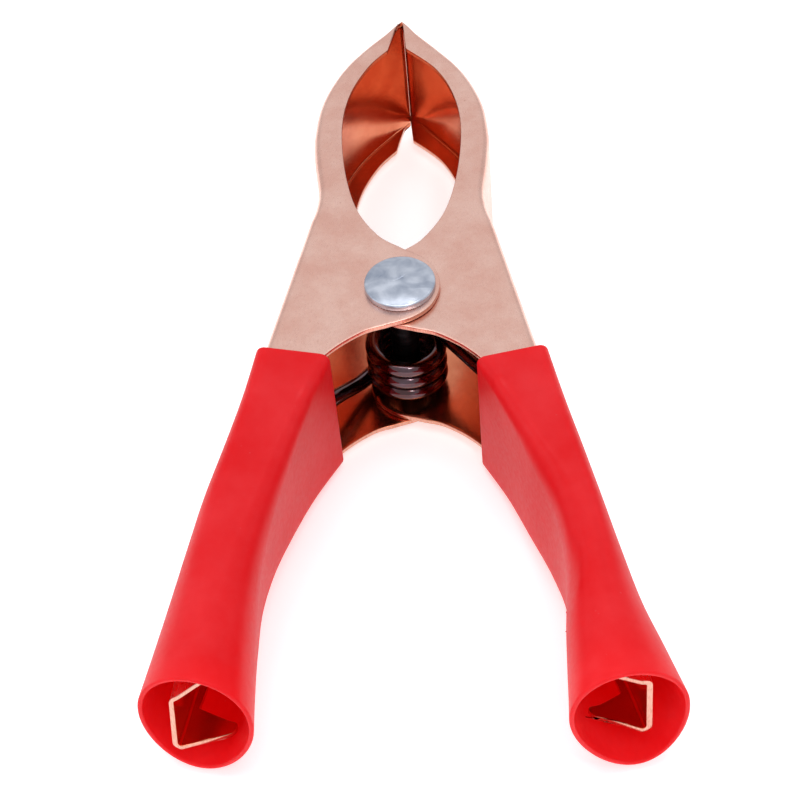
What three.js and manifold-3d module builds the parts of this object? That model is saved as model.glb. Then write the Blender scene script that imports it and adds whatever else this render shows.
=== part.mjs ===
// Spring ground clamp: two pressed sheet-metal levers nested on one rivet, a torsion spring and two soft sleeves.
// Millimetres. The clamp lies flat: +Z is the pivot axis, +Y runs from the handles to the jaws, X runs across.
// The origin is on the pivot axis, in the plane that the clamp lies on.
import * as THREE from 'three';
import { mergeVertices } from 'three/addons/utils/BufferGeometryUtils.js';
import Module from 'manifold-3d';

const wasm = await Module();
wasm.setup();

// ---- Driving dimensions -------------------------------------------------------------------------------
const SHEET = 0.6; // thickness of the pressed sheet
const BEND = 1.0; // outside radius of the bends
const BODY_HALF = 8.6; // half the width over the outer lever's cheeks
const NEST_GAP = 0.12; // play between an outer and an inner cheek
const TIP_Y = { outer: 47.7, inner: 48.3 }; // pivot to each jaw's tip
const TIP_X = 0.15; // half the slit left between the closed jaw tips
// The cheeks' free edge at the tip and at the nose's corner, as places from the pivot.
const NOSE = {
  outer: { tip: [0.6, 46.7], corner: [1.75, 41.6] },
  inner: { tip: [0.15, 47.7], corner: [0.5, 42.7] },
};
const HANDLE_ANGLE = THREE.MathUtils.degToRad(12.2); // of each handle, from the clamp's middle line
const NECK = new THREE.Vector2(9.6, 15.2); // narrowest point, between the jaw's bulge and the handle
const HANDLE_END_Y = -50;
const END_SHIFT = { outer: 0.9, inner: -0.4 }; // how far each handle's last part is bent inward
const END_SHIFT_Y = -38; // where that bend starts
const HANDLE_END_HALF = 4.6; // half the handle's width along Z at its end
const TAPER_TOP_Y = -12; // where the handle starts to narrow along Z
const FLANGE = 2.2; // depth of the handle's flanges along the grip
const EAR_REACH = { outer: 6.1, inner: 5.2 }; // depth of the cable ears at the handle's end
const EAR_ROOT = 4.4; // width of a cable ear where it leaves the web
const EAR_TIP = 1.8; // width of a cable ear at its free end

const SHANK_RADIUS = 1.6;
const SHANK_PLAY = 0.06; // radial play of the shank in the levers' holes
const HEAD_RADIUS = 3.95;
const HEAD_HEIGHT = { front: 1.15, rear: 0.9 };
const HEAD_CROWN = 0.3; // rise of the head's shallow dome, within its height
const CLINCH_RADIUS = 3.4;
const HEAD_PLAY = 0.03; // play under each head

const WIRE = 1.8; // spring wire's diameter
const COIL_RADIUS = 3.75; // to the wire's centre line
const COIL_PITCH = 1.9;
const COIL_TURNS = 3; // whole turns, besides the arc between the two legs
const COIL_BOTTOM = -6.0; // wire's centre line at the lower leg, from the middle plane
const LEG_ANGLE = THREE.MathUtils.degToRad(37); // of each leg, from the clamp's middle line
const LEG_LENGTH = 15.6;
const LEG_RISE = { height: 2.2, from: 2.5, to: 10.5 }; // the lower leg's rise, and where along it that happens

const SLEEVE_WALL = 0.5;
const SLEEVE_TOP = { left: 24.6, right: 26 }; // from the neck to each sleeve's top edge, along the handle
const SLEEVE_LENGTH = 41.9;
// Stations down the sleeves: share of the length, and the corners' radii as shares of the half width and height.
const SLEEVE_AT = [0, 0.15, 0.3, 0.45, 0.6, 0.75, 0.88, 1];
const SLEEVE_ROUND = {
  across: [0.26, 0.38, 0.5, 0.6, 0.75, 0.9, 1, 1],
  high: [0.11, 0.19, 0.31, 0.44, 0.62, 0.82, 0.95, 1],
};
// Outer sections at the stations: depths from the web line of the web side and of the side towards the handles'
// gap, at the front and at the rear, and half the height along Z.
const SLEEVE_SHAPE = {
  left: {
    web: [-0.75, -0.8, -1.25, -1.8, -2.05, -2.25, -2.4, -2.45],
    front: [7.5, 6.7, 6.3, 6.1, 6.35, 7.45, 9.0, 10.7],
    rear: [7.5, 5.9, 5.0, 4.55, 4.95, 6.2, 7.2, 7.95],
    high: [9.25, 8.9, 8.5, 8.05, 7.8, 7.85, 8.05, 8.15],
  },
  right: {
    web: [-0.75, -0.9, -1.25, -1.55, -1.85, -2.3, -3.15, -3.8],
    front: [7.1, 5.7, 4.4, 3.4, 4.05, 6.0, 7.8, 10.0],
    rear: [7.1, 5.7, 4.95, 4.25, 4.1, 5.35, 6.1, 5.9],
    high: [9.2, 8.8, 8.3, 7.75, 7.5, 7.7, 8.05, 8.3],
  },
};

const MIDDLE = BODY_HALF + HEAD_HEIGHT.rear + HEAD_PLAY; // height of the clamp's middle plane over the floor

// ---- Booleans -----------------------------------------------------------------------------------------
function toSolid(geometry) {
  const bare = geometry.clone();
  bare.deleteAttribute('normal');
  bare.deleteAttribute('uv');
  const merged = mergeVertices(bare, 1e-5);
  return new wasm.Manifold(new wasm.Mesh({
    numProp: 3,
    vertProperties: new Float32Array(merged.attributes.position.array),
    triVerts: new Uint32Array(merged.index.array),
  }));
}

function toGeometry(solid) {
  const mesh = solid.getMesh();
  const geometry = new THREE.BufferGeometry();
  geometry.setAttribute('position', new THREE.BufferAttribute(new Float32Array(mesh.vertProperties), 3));
  geometry.setIndex(new THREE.BufferAttribute(new Uint32Array(mesh.triVerts), 1));
  const faceted = geometry.toNonIndexed();
  faceted.computeVertexNormals();
  return faceted;
}

// ---- Lever outlines, drawn for the lever whose handle lies towards +X ---------------------------------
const along = new THREE.Vector2(Math.sin(HANDLE_ANGLE), -Math.cos(HANDLE_ANGLE)); // down the handle
const inward = new THREE.Vector2(-along.y, along.x).multiplyScalar(-1); // from the web to the handles' gap

const vec = (x, y) => new THREE.Vector2(x, y);
const { smoothstep, lerp } = THREE.MathUtils;
const spline = (points, count) => new THREE.SplineCurve(points).getPoints(count);

// A point on the handle's web, at height y, moved inward by the given depth.
function webPoint(y, depth = 0) {
  const start = NECK.clone().addScaledVector(along, 2.2);
  const run = (y - start.y - inward.y * depth) / along.y;
  return start.addScaledVector(along, run).addScaledVector(inward, depth);
}

// The web's outer line, from the handle's end, through the neck and the jaw's bulge, to the tip.
function webLine(kind) {
  const handle = [
    webPoint(HANDLE_END_Y, END_SHIFT[kind]), webPoint(END_SHIFT_Y), webPoint(TAPER_TOP_Y), webPoint(11.5),
  ];
  const neck = new THREE.QuadraticBezierCurve(webPoint(11.5), vec(9.35, 14.6), vec(9.8, 18)).getPoints(6);
  const jaw = spline([
    vec(9.8, 18), vec(10.3, 22.4), vec(10.42, 26.6), vec(9.75, 32.2), vec(7.7, 37.8), vec(4.7, 42.4),
    vec(TIP_X, TIP_Y[kind]),
  ], 26);
  return [...handle, ...neck.slice(1), ...jaw.slice(1)];
}

// The web line moved inward by the sheet's thickness.
function innerWebLine(line, depth) {
  return line.map((point, i) => {
    const before = line[Math.max(i - 1, 0)];
    const after = line[Math.min(i + 1, line.length - 1)];
    const heading = after.clone().sub(before).normalize();
    return point.clone().add(vec(-heading.y, heading.x).multiplyScalar(depth));
  });
}

// The cheek's free edge: nose, jaw opening, round the rivet, crotch and the handle's flange, to its end.
function freeEdge(kind) {
  const opening = spline([
    vec(...NOSE[kind].corner), vec(4.1, 38.5), vec(6.25, 33.4), vec(7.1, 27.4), vec(6.6, 19.6), vec(5.1, 12.9),
    vec(2.6, 8.4), vec(0, 6.2), vec(-3, 4), vec(-4.4, 0.6), vec(-3.6, -2.7), vec(-1.5, -4.7),
    vec(1.4, -5.75), vec(4.3, -6.8), vec(7.9, -9.7), vec(11.2, -14.4), vec(14.2, -22), webPoint(-29, FLANGE),
  ], 72);
  const end = HANDLE_END_Y;
  return [
    vec(...NOSE[kind].tip), ...opening,
    webPoint(end + EAR_ROOT, FLANGE * 0.5),
    webPoint(end + EAR_TIP, EAR_REACH[kind]), webPoint(end, EAR_REACH[kind]),
  ];
}

const onSide = (points, side) => points.map((p) => vec(p.x * side, p.y));

// A plate of the outline, from z = -half to z = half, with its rims rounded if a bevel is given.
function plate(points, half, bevel = 0) {
  const geometry = new THREE.ExtrudeGeometry(new THREE.Shape(points), {
    depth: 2 * (half - bevel), steps: 1, bevelEnabled: bevel > 0,
    bevelThickness: bevel, bevelSize: bevel, bevelOffset: -bevel, bevelSegments: 4,
  });
  geometry.translate(0, 0, bevel - half);
  return toSolid(geometry);
}

// What the lever fills seen from the side: straight over the jaws and pivot, narrowing along the handle.
function sideProfile(half, inset) {
  const end = HANDLE_END_HALF - inset;
  const reach = 1; // past both ends of the lever
  const slope = (half - inset - end) / (TAPER_TOP_Y - HANDLE_END_Y);
  const high = TIP_Y.inner + reach;
  const low = end - slope * reach;
  const shape = new THREE.Shape([
    vec(high, half - inset), vec(TAPER_TOP_Y, half - inset), vec(HANDLE_END_Y - reach, low),
    vec(HANDLE_END_Y - reach, -low), vec(TAPER_TOP_Y, inset - half), vec(high, inset - half),
  ]);
  const geometry = new THREE.ExtrudeGeometry(shape, { depth: 80, bevelEnabled: false });
  geometry.translate(0, 0, -40);
  geometry.applyMatrix4(new THREE.Matrix4().makeBasis( // the shape's x, y and depth become Y, Z and X
    new THREE.Vector3(0, 1, 0), new THREE.Vector3(0, 0, 1), new THREE.Vector3(1, 0, 0),
  ));
  return toSolid(geometry);
}

// One pressed lever: its web on the outside and a cheek to the front and rear, with the rivet hole through both.
function lever(side, half, kind) {
  const outer = webLine(kind);
  const inner = innerWebLine(outer, SHEET);
  inner[inner.length - 1] = vec(TIP_X, TIP_Y[kind] - 0.95);
  const webBand = plate(onSide([...outer, ...inner.reverse()], side), half);
  const cheeks = plate(onSide([...outer, ...freeEdge(kind)], side), half);
  const blank = plate(onSide([...outer, vec(-14, TIP_Y[kind]), vec(-14, HANDLE_END_Y)], side), half, BEND);
  const full = sideProfile(half, 0);
  const walls = full.subtract(sideProfile(half, SHEET));
  const hole = new THREE.CylinderGeometry(SHANK_RADIUS + SHANK_PLAY, SHANK_RADIUS + SHANK_PLAY, 40, 32);
  hole.rotateX(Math.PI / 2);
  return toGeometry(webBand.intersect(full).add(cheeks.intersect(walls)).intersect(blank).subtract(toSolid(hole)));
}

// ---- Rivet: shallow domed head in front, shank, clinched flat head behind -----------------------------
function rivet() {
  const grip = BODY_HALF + HEAD_PLAY;
  const crown = [];
  for (let i = 0; i <= 6; i += 1) {
    const r = HEAD_RADIUS * (1 - i / 6);
    crown.push(vec(r, grip + HEAD_HEIGHT.front - HEAD_CROWN * (r / HEAD_RADIUS) ** 2));
  }
  const profile = [
    vec(0, -grip - HEAD_HEIGHT.rear), vec(CLINCH_RADIUS - 0.3, -grip - HEAD_HEIGHT.rear),
    vec(CLINCH_RADIUS, -grip - HEAD_HEIGHT.rear + 0.3), vec(CLINCH_RADIUS, -grip), vec(SHANK_RADIUS, -grip),
    vec(SHANK_RADIUS, grip), vec(HEAD_RADIUS, grip), ...crown,
  ];
  const geometry = new THREE.LatheGeometry(profile, 48);
  geometry.rotateX(Math.PI / 2);
  return toGeometry(toSolid(geometry));
}

// ---- Torsion spring: lower leg to the outer lever, close coil, upper leg to the inner lever ------------
function springPath() {
  const lead = Math.PI - LEG_ANGLE; // where the lower leg meets the coil; the upper leg meets it at LEG_ANGLE
  const sweep = 2 * Math.PI * COIL_TURNS + lead - LEG_ANGLE;
  const steps = 96;
  const points = [];
  const coilPoint = (share) => {
    const angle = lead - sweep * share;
    const z = COIL_BOTTOM + (COIL_PITCH * sweep * share) / (2 * Math.PI);
    return new THREE.Vector3(COIL_RADIUS * Math.cos(angle), COIL_RADIUS * Math.sin(angle), z);
  };
  const leg = (sign) => new THREE.Vector3(sign * Math.sin(LEG_ANGLE), -Math.cos(LEG_ANGLE), 0);
  for (const run of [15.6, 13, 10.4, 7.8, 5.2, 2.6].map((r) => (r * LEG_LENGTH) / 15.6)) {
    const place = coilPoint(0).addScaledVector(leg(-1), run);
    place.z += LEG_RISE.height * smoothstep(run, LEG_RISE.from, LEG_RISE.to);
    points.push(place);
  }
  for (let i = 0; i <= steps; i += 1) points.push(coilPoint(i / steps));
  for (const run of [0.33, 0.66, 1]) points.push(coilPoint(1).addScaledVector(leg(1), LEG_LENGTH * run));
  return new THREE.CatmullRomCurve3(points, false, 'centripetal');
}

function torsionSpring() {
  const section = new THREE.Shape();
  section.absarc(0, 0, WIRE / 2, 0, 2 * Math.PI);
  const geometry = new THREE.ExtrudeGeometry(section, {
    extrudePath: springPath(), steps: 150, curveSegments: 5, bevelEnabled: false,
  });
  return toGeometry(toSolid(geometry));
}

// ---- Grip sleeve: boxy and tight at the top, round and open at its end ---------------------------------

// A smooth curve through values at the stations, read at a share of the length.
function between(values, share) {
  const last = SLEEVE_AT.length - 1;
  const slope = (i) => {
    const [a, b] = [Math.max(i - 1, 0), Math.min(i + 1, last)];
    return (values[b] - values[a]) / (SLEEVE_AT[b] - SLEEVE_AT[a]);
  };
  const i = Math.min(SLEEVE_AT.findLastIndex((at) => share >= at), last - 1);
  const span = SLEEVE_AT[i + 1] - SLEEVE_AT[i];
  const t = (share - SLEEVE_AT[i]) / span;
  const blend = t * t * (3 - 2 * t);
  const [leave, arrive] = [t * (1 - t) ** 2, t * t * (1 - t)];
  return lerp(values[i], values[i + 1], blend) + span * (leave * slope(i) - arrive * slope(i + 1));
}

function sleeve(side, word) {
  const sides = 44;
  const ring = (radius, flip) => {
    const points = [];
    for (let i = 0; i < sides; i += 1) {
      const angle = ((i + 0.5) * 2 * Math.PI) / sides;
      points.push(vec(radius * Math.cos(angle), radius * Math.sin(angle)));
    }
    return flip ? points.reverse() : points;
  };
  const shape = new THREE.Shape(ring(2, false));
  shape.holes.push(new THREE.Path(ring(1, true)));
  const geometry = new THREE.ExtrudeGeometry(shape, { depth: 1, steps: 20, bevelEnabled: false });
  const position = geometry.attributes.position;
  const top = NECK.clone().addScaledVector(along, SLEEVE_TOP[word]);
  for (let i = 0; i < position.count; i += 1) {
    const [x, y, share] = [position.getX(i), position.getY(i), position.getZ(i)];
    const radius = Math.hypot(x, y);
    const wall = radius > 1.5 ? 0 : SLEEVE_WALL;
    const { web, front, rear, high } = SLEEVE_SHAPE[word];
    const outline = { web: between(web, share), front: between(front, share), rear: between(rear, share) };
    const half = vec((outline.front + outline.rear) / 4 - outline.web / 2, between(high, share));
    const corner = vec(half.x * between(SLEEVE_ROUND.across, share), half.y * between(SLEEVE_ROUND.high, share));
    const bent = corner.clone().subScalar(wall);
    const across = (Math.sign(x) * (half.x - corner.x) + (bent.x * x) / radius) / (half.x - wall); // -1 to 1
    const height = Math.sign(y) * (half.y - corner.y) + (bent.y * y) / radius;
    const gapSide = lerp(outline.rear, outline.front, (height / (half.y - wall) + 1) / 2) - wall;
    const depth = lerp(outline.web + wall, gapSide, (across + 1) / 2);
    const place = top.clone().addScaledVector(along, share * SLEEVE_LENGTH).addScaledVector(inward, depth);
    position.setXYZ(i, place.x * side, place.y, height);
  }
  const solid = toSolid(side > 0 ? flipped(geometry) : geometry);
  return toGeometry(solid);
}

// The same closed surface with every triangle turned over.
function flipped(geometry) {
  const turned = geometry.clone();
  const position = turned.attributes.position;
  for (let i = 0; i < position.count; i += 3) {
    const [a, b] = [i, i + 1].map((k) => new THREE.Vector3().fromBufferAttribute(position, k));
    position.setXYZ(i, b.x, b.y, b.z);
    position.setXYZ(i + 1, a.x, a.y, a.z);
  }
  return turned;
}

// ---- Assembly -----------------------------------------------------------------------------------------
const clamp = new THREE.Group();
clamp.position.z = MIDDLE;

function add(name, geometry, color, roughness, metalness) {
  const mesh = new THREE.Mesh(geometry, new THREE.MeshStandardMaterial({ color, roughness, metalness }));
  mesh.name = name;
  clamp.add(mesh);
}

const COPPER = '#dba394';
const SOFT_RED = '#e6323a';
add('left_jaw_lever', lever(-1, BODY_HALF, 'outer'), COPPER, 0.38, 1);
add('right_jaw_lever', lever(1, BODY_HALF - SHEET - NEST_GAP, 'inner'), COPPER, 0.38, 1);
add('pivot_rivet', rivet(), '#b9bfc9', 0.35, 1);
add('torsion_spring', torsionSpring(), '#3a1216', 0.25, 0.6);
add('left_grip_sleeve', sleeve(-1, 'left'), SOFT_RED, 0.4, 0);
add('right_grip_sleeve', sleeve(1, 'right'), SOFT_RED, 0.4, 0);

export default clamp;
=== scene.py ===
"""Spring ground clamp: two copper-plated levers nested on a rivet, a torsion spring and two vinyl sleeves.

Outlines are worked out in millimetres from the pivot, with z from the clamp's middle plane, and turned to
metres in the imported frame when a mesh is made. +Y runs from the handles to the jaws and +Z along the pivot.
"""

import logging
import math
from dataclasses import dataclass, field
from enum import Enum
from typing import Any, Iterable, Sequence

import bpy
import numpy as np
from mathutils import Matrix, Vector, noise


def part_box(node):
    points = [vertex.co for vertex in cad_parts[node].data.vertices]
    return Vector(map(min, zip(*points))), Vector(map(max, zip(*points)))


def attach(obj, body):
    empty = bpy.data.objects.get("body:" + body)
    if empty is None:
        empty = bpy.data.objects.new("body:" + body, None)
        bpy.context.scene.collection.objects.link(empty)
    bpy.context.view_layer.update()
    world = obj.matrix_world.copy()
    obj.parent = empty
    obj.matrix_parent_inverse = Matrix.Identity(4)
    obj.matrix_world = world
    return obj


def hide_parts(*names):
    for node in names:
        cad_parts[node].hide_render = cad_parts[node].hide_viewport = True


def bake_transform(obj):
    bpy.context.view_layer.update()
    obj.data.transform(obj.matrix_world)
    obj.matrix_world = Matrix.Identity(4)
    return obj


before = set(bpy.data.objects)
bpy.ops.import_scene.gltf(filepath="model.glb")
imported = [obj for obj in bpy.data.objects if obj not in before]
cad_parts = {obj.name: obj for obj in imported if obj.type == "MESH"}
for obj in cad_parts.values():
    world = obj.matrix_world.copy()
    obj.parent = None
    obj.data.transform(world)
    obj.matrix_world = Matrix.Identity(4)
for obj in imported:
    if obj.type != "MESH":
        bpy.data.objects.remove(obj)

MM = 0.001  # metres in a millimetre
LOG = logging.getLogger("ground_clamp")


class Side(Enum):
    """The side of the clamp's middle line that a lever's handle lies on; its value is the sign of x."""

    LEFT = -1
    RIGHT = 1

    @property
    def word(self) -> str:
        """The side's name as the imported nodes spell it."""
        return self.name.lower()


# ---- Curves and meshes --------------------------------------------------------------------------------


def smoothstep(value: np.ndarray | float, low: float, high: float) -> np.ndarray:
    """Rises smoothly from 0 to 1.

    Args:
        value: Where to read the curve.
        low: The value at which it leaves 0.
        high: The value at which it reaches 1.

    Returns:
        The curve's height at each value.
    """
    t = np.clip((np.asarray(value, float) - low) / (high - low), 0, 1)
    return t * t * (3 - 2 * t)


def bump(value: np.ndarray | float, centre: float, width: float) -> np.ndarray:
    """A bell curve, 1 at its centre.

    Args:
        value: Where to read the curve.
        centre: The value at which it is highest.
        width: Distance from the centre at which it has fallen to about a third.

    Returns:
        The curve's height at each value.
    """
    return np.exp(-(((np.asarray(value, float) - centre) / width) ** 2))


def through(points: Sequence[Sequence[float]], per_span: int) -> np.ndarray:
    """Draws a smooth curve through points.

    Args:
        points: The points, of any number of coordinates.
        per_span: Steps between one point and the next.

    Returns:
        The curve's points, both ends included.
    """
    p = np.asarray(points, float)
    p = np.vstack([p[:1], p, p[-1:]])
    made = []
    for i in range(1, len(p) - 2):
        for t in np.arange(per_span) / per_span:
            start, end = (p[i + 1] - p[i - 1]) / 2, (p[i + 2] - p[i]) / 2
            cubic = 2 * p[i] - 2 * p[i + 1] + start + end
            square = 3 * p[i + 1] - 3 * p[i] - 2 * start - end
            made.append(p[i] + start * t + square * t**2 + cubic * t**3)
    return np.vstack([*made, p[-2]])


def straight(start: Sequence[float], end: Sequence[float], steps: int) -> np.ndarray:
    """Divides a straight line.

    Args:
        start: The line's first point.
        end: The line's last point.
        steps: Steps along it.

    Returns:
        The points, both ends included.
    """
    t = np.linspace(0, 1, steps + 1)[:, None]
    return np.asarray(start, float) * (1 - t) + np.asarray(end, float) * t


def unit(vectors: np.ndarray) -> np.ndarray:
    """Scales each row to a length of one."""
    return vectors / np.maximum(np.linalg.norm(vectors, axis=-1, keepdims=True), 1e-12)


def grid_faces(rows: int, columns: int, start: int = 0, wrap: bool = False) -> list[tuple[int, ...]]:
    """Lists the four-sided faces of a grid of points.

    Args:
        rows: Points one way.
        columns: Points the other way, which is the one that counts up by one.
        start: Index of the grid's first point.
        wrap: Whether the last column joins the first.

    Returns:
        The faces as tuples of point indices.
    """
    faces = []
    for i in range(rows - 1):
        for j in range(columns if wrap else columns - 1):
            a, b = start + i * columns + j, start + i * columns + (j + 1) % columns
            faces.append((a, b, b + columns, a + columns))
    return faces


def new_piece(
    name: str,
    points: np.ndarray,
    faces: Iterable[tuple[int, ...]],
    middle: float,
    materials: Sequence[bpy.types.Material],
    zones: Sequence[int] | None = None,
) -> bpy.types.Object:
    """Makes a smooth-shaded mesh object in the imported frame.

    Args:
        name: The object's name.
        points: Points in millimetres from the pivot and the clamp's middle plane.
        faces: Faces as tuples of point indices.
        middle: Height of the middle plane over the floor, in millimetres.
        materials: The object's materials, in slot order.
        zones: Each face's material slot; all are in the first slot if it is left out.

    Returns:
        The object.
    """
    placed = (np.asarray(points, float) + (0, 0, middle)) * MM
    mesh = bpy.data.meshes.new(name)
    mesh.from_pydata(placed.tolist(), [], list(faces))
    for material in materials:
        mesh.materials.append(material)
    if zones is not None:
        mesh.polygons.foreach_set("material_index", list(zones))
    mesh.polygons.foreach_set("use_smooth", [True] * len(mesh.polygons))
    mesh.validate()
    mesh.update()
    piece = bpy.data.objects.new(name, mesh)
    bpy.context.scene.collection.objects.link(piece)
    return piece


def apply_modifiers(piece: bpy.types.Object) -> None:
    """Turns an object's modifiers into its mesh."""
    bpy.context.view_layer.update()
    evaluated = piece.evaluated_get(bpy.context.evaluated_depsgraph_get())
    finished = bpy.data.meshes.new_from_object(evaluated)
    piece.modifiers.clear()
    old = piece.data
    piece.data = finished
    finished.name = piece.name
    bpy.data.meshes.remove(old)


def soften_edges(piece: bpy.types.Object, width: float, sharper_than: float = 50.0) -> None:
    """Rounds an object's sharp edges and evens its shading.

    Args:
        piece: The object.
        width: The rounding's width in millimetres.
        sharper_than: Edges that bend by more than this many degrees are rounded.
    """
    rounding = piece.modifiers.new("rounding", "BEVEL")
    rounding.width = width * MM
    rounding.segments = 2
    rounding.limit_method = "ANGLE"
    rounding.angle_limit = math.radians(sharper_than)
    rounding.use_clamp_overlap = False
    shading = piece.modifiers.new("shading", "WEIGHTED_NORMAL")
    shading.keep_sharp = False
    apply_modifiers(piece)


# ---- Finishes -----------------------------------------------------------------------------------------


def linear(code: str) -> tuple[float, float, float, float]:
    """Turns an sRGB hex colour to linear.

    Args:
        code: The colour as #rrggbb.

    Returns:
        Linear red, green, blue and an alpha of one.
    """
    parts = [int(code[i : i + 2], 16) / 255 for i in (1, 3, 5)]
    red, green, blue = (c / 12.92 if c <= 0.04045 else ((c + 0.055) / 1.055) ** 2.4 for c in parts)
    return red, green, blue, 1.0


def per_mm(size: float) -> float:
    """The texture scale at which a pattern's features are this many millimetres across."""
    return 1 / (size * MM)


def add_node(
    tree: bpy.types.NodeTree,
    kind: str,
    inputs: dict[str | int, Any] | None = None,
    stops: Sequence[tuple[float, str]] = (),
    **settings: Any,
) -> bpy.types.Node:
    """Adds a node with its settings and links.

    Args:
        tree: The node tree.
        kind: The node's type.
        inputs: What each input gets, by name or index: another node's output to link, or a value.
        stops: Places and colours of a colour ramp's stops.
        **settings: The node's own properties.

    Returns:
        The node.
    """
    made = tree.nodes.new(kind)
    for name, value in settings.items():
        setattr(made, name, value)
    for key, value in (inputs or {}).items():
        if isinstance(value, bpy.types.NodeSocket):
            tree.links.new(value, made.inputs[key])
        else:
            made.inputs[key].default_value = value
    for i, (place, code) in enumerate(stops):
        ramp = made.color_ramp.elements
        stop = ramp[i] if i < 2 else ramp.new(place)
        stop.position, stop.color = place, linear(code)
    return made


def blank_material(name: str) -> tuple[bpy.types.Material, bpy.types.NodeTree, bpy.types.NodeSocket]:
    """Starts a material with nothing in it but its output.

    Args:
        name: The material's name.

    Returns:
        The material, its node tree and a socket with places on the object in metres.
    """
    material = bpy.data.materials.new(name)
    material.use_nodes = True
    tree = material.node_tree
    tree.nodes.clear()
    places = add_node(tree, "ShaderNodeTexCoord").outputs["Object"]
    return material, tree, places


@dataclass(frozen=True)
class CopperPlatedSteel:
    """Cold-rolled mild steel strip, pressed and barrel-plated with copper.

    The plating is satin, so it mirrors only in a blur. Tumbling leaves a fine mottle, rolling a faint
    straight grain, and handling leaves soft cloudy tarnish and a few pits.
    """

    name: str = "copper_plated_steel"
    bright: str = "#f4c9ba"
    worn: str = "#ebb8a8"
    tarnish: str = "#a8624c"
    cloud_mm: float = 5.0
    mottle_mm: float = 0.3
    grain_mm: float = 0.2  # real rolling grain is near 0.05 mm; it is drawn coarser so that it shows
    pit_mm: float = 3.2
    pitted: float = 0.4  # how far the pits' colour goes to tarnish
    smoothest: float = 0.25
    roughest: float = 0.35
    relief: float = 0.16  # strength of its unevenness

    def make(self) -> bpy.types.Material:
        """Builds the material."""
        material, tree, places = blank_material(self.name)
        cloud = add_node(tree, "ShaderNodeTexNoise", {
            "Vector": places, "Scale": per_mm(self.cloud_mm), "Detail": 6.0, "Roughness": 0.65,
        })
        mottle = add_node(tree, "ShaderNodeTexNoise", {
            "Vector": places, "Scale": per_mm(self.mottle_mm), "Detail": 4.0, "Roughness": 0.6,
        })
        rolled = add_node(tree, "ShaderNodeMapping", {"Vector": places, "Scale": (1.0, 0.3, 1.0)})
        grain = add_node(tree, "ShaderNodeTexNoise", {
            "Vector": rolled.outputs["Vector"], "Scale": per_mm(self.grain_mm), "Detail": 3.0,
        })
        pits = add_node(tree, "ShaderNodeTexVoronoi", {"Vector": places, "Scale": per_mm(self.pit_mm)})
        tones = add_node(tree, "ShaderNodeValToRGB", {"Fac": cloud.outputs["Fac"]}, stops=(
            (0.38, self.worn), (0.62, self.bright),
        ))
        mottle_tone = add_node(tree, "ShaderNodeMapRange", {
            "Value": mottle.outputs["Fac"], "From Min": 0.4, "From Max": 0.7, "To Min": 0.0, "To Max": 0.09,
        })
        mottled = add_node(tree, "ShaderNodeMixRGB", {
            "Fac": mottle_tone.outputs["Result"], "Color1": tones.outputs["Color"],
            "Color2": linear(self.tarnish),
        })
        pit_share = add_node(tree, "ShaderNodeMapRange", {
            "Value": pits.outputs["Distance"], "From Min": 0.015, "From Max": 0.05,
            "To Min": self.pitted, "To Max": 0.0,
        })
        specked = add_node(tree, "ShaderNodeMixRGB", {
            "Fac": pit_share.outputs["Result"], "Color1": mottled.outputs["Color"],
            "Color2": linear(self.tarnish),
        })
        gloss = add_node(tree, "ShaderNodeMapRange", {
            "Value": grain.outputs["Fac"], "From Min": 0.3, "From Max": 0.7,
            "To Min": self.smoothest, "To Max": self.roughest,
        })
        height = add_node(tree, "ShaderNodeMath", {
            0: mottle.outputs["Fac"], 1: grain.outputs["Fac"],
        }, operation="ADD")
        dents = add_node(tree, "ShaderNodeBump", {
            "Height": height.outputs["Value"], "Strength": self.relief, "Distance": 0.03 * MM,
        })
        shader = add_node(tree, "ShaderNodeBsdfPrincipled", {
            "Base Color": specked.outputs["Color"], "Metallic": 1.0, "Roughness": gloss.outputs["Result"],
            "Normal": dents.outputs["Normal"],
        })
        add_node(tree, "ShaderNodeOutputMaterial", {"Surface": shader.outputs["BSDF"]})
        return material


@dataclass(frozen=True)
class ShearedCopperEdge:
    """The strip's blanked edge: sheared steel under the same copper, burnished by the die.

    The punch leaves faint drag lines across the sheet's thickness.
    """

    name: str = "sheared_copper_edge"
    bright: str = "#e6b09b"
    shade: str = "#cf937d"
    drag_mm: float = 0.1
    roughness: float = 0.24

    def make(self) -> bpy.types.Material:
        """Builds the material."""
        material, tree, places = blank_material(self.name)
        stretched = add_node(tree, "ShaderNodeMapping", {"Vector": places, "Scale": (1.0, 1.0, 0.15)})
        drag = add_node(tree, "ShaderNodeTexNoise", {
            "Vector": stretched.outputs["Vector"], "Scale": per_mm(self.drag_mm), "Detail": 3.0,
        })
        tones = add_node(tree, "ShaderNodeValToRGB", {"Fac": drag.outputs["Fac"]}, stops=(
            (0.35, self.shade), (0.6, self.bright),
        ))
        dents = add_node(tree, "ShaderNodeBump", {
            "Height": drag.outputs["Fac"], "Strength": 0.12, "Distance": 0.02 * MM,
        })
        shader = add_node(tree, "ShaderNodeBsdfPrincipled", {
            "Base Color": tones.outputs["Color"], "Metallic": 1.0, "Roughness": self.roughness,
            "Normal": dents.outputs["Normal"],
        })
        add_node(tree, "ShaderNodeOutputMaterial", {"Surface": shader.outputs["BSDF"]})
        return material


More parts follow.
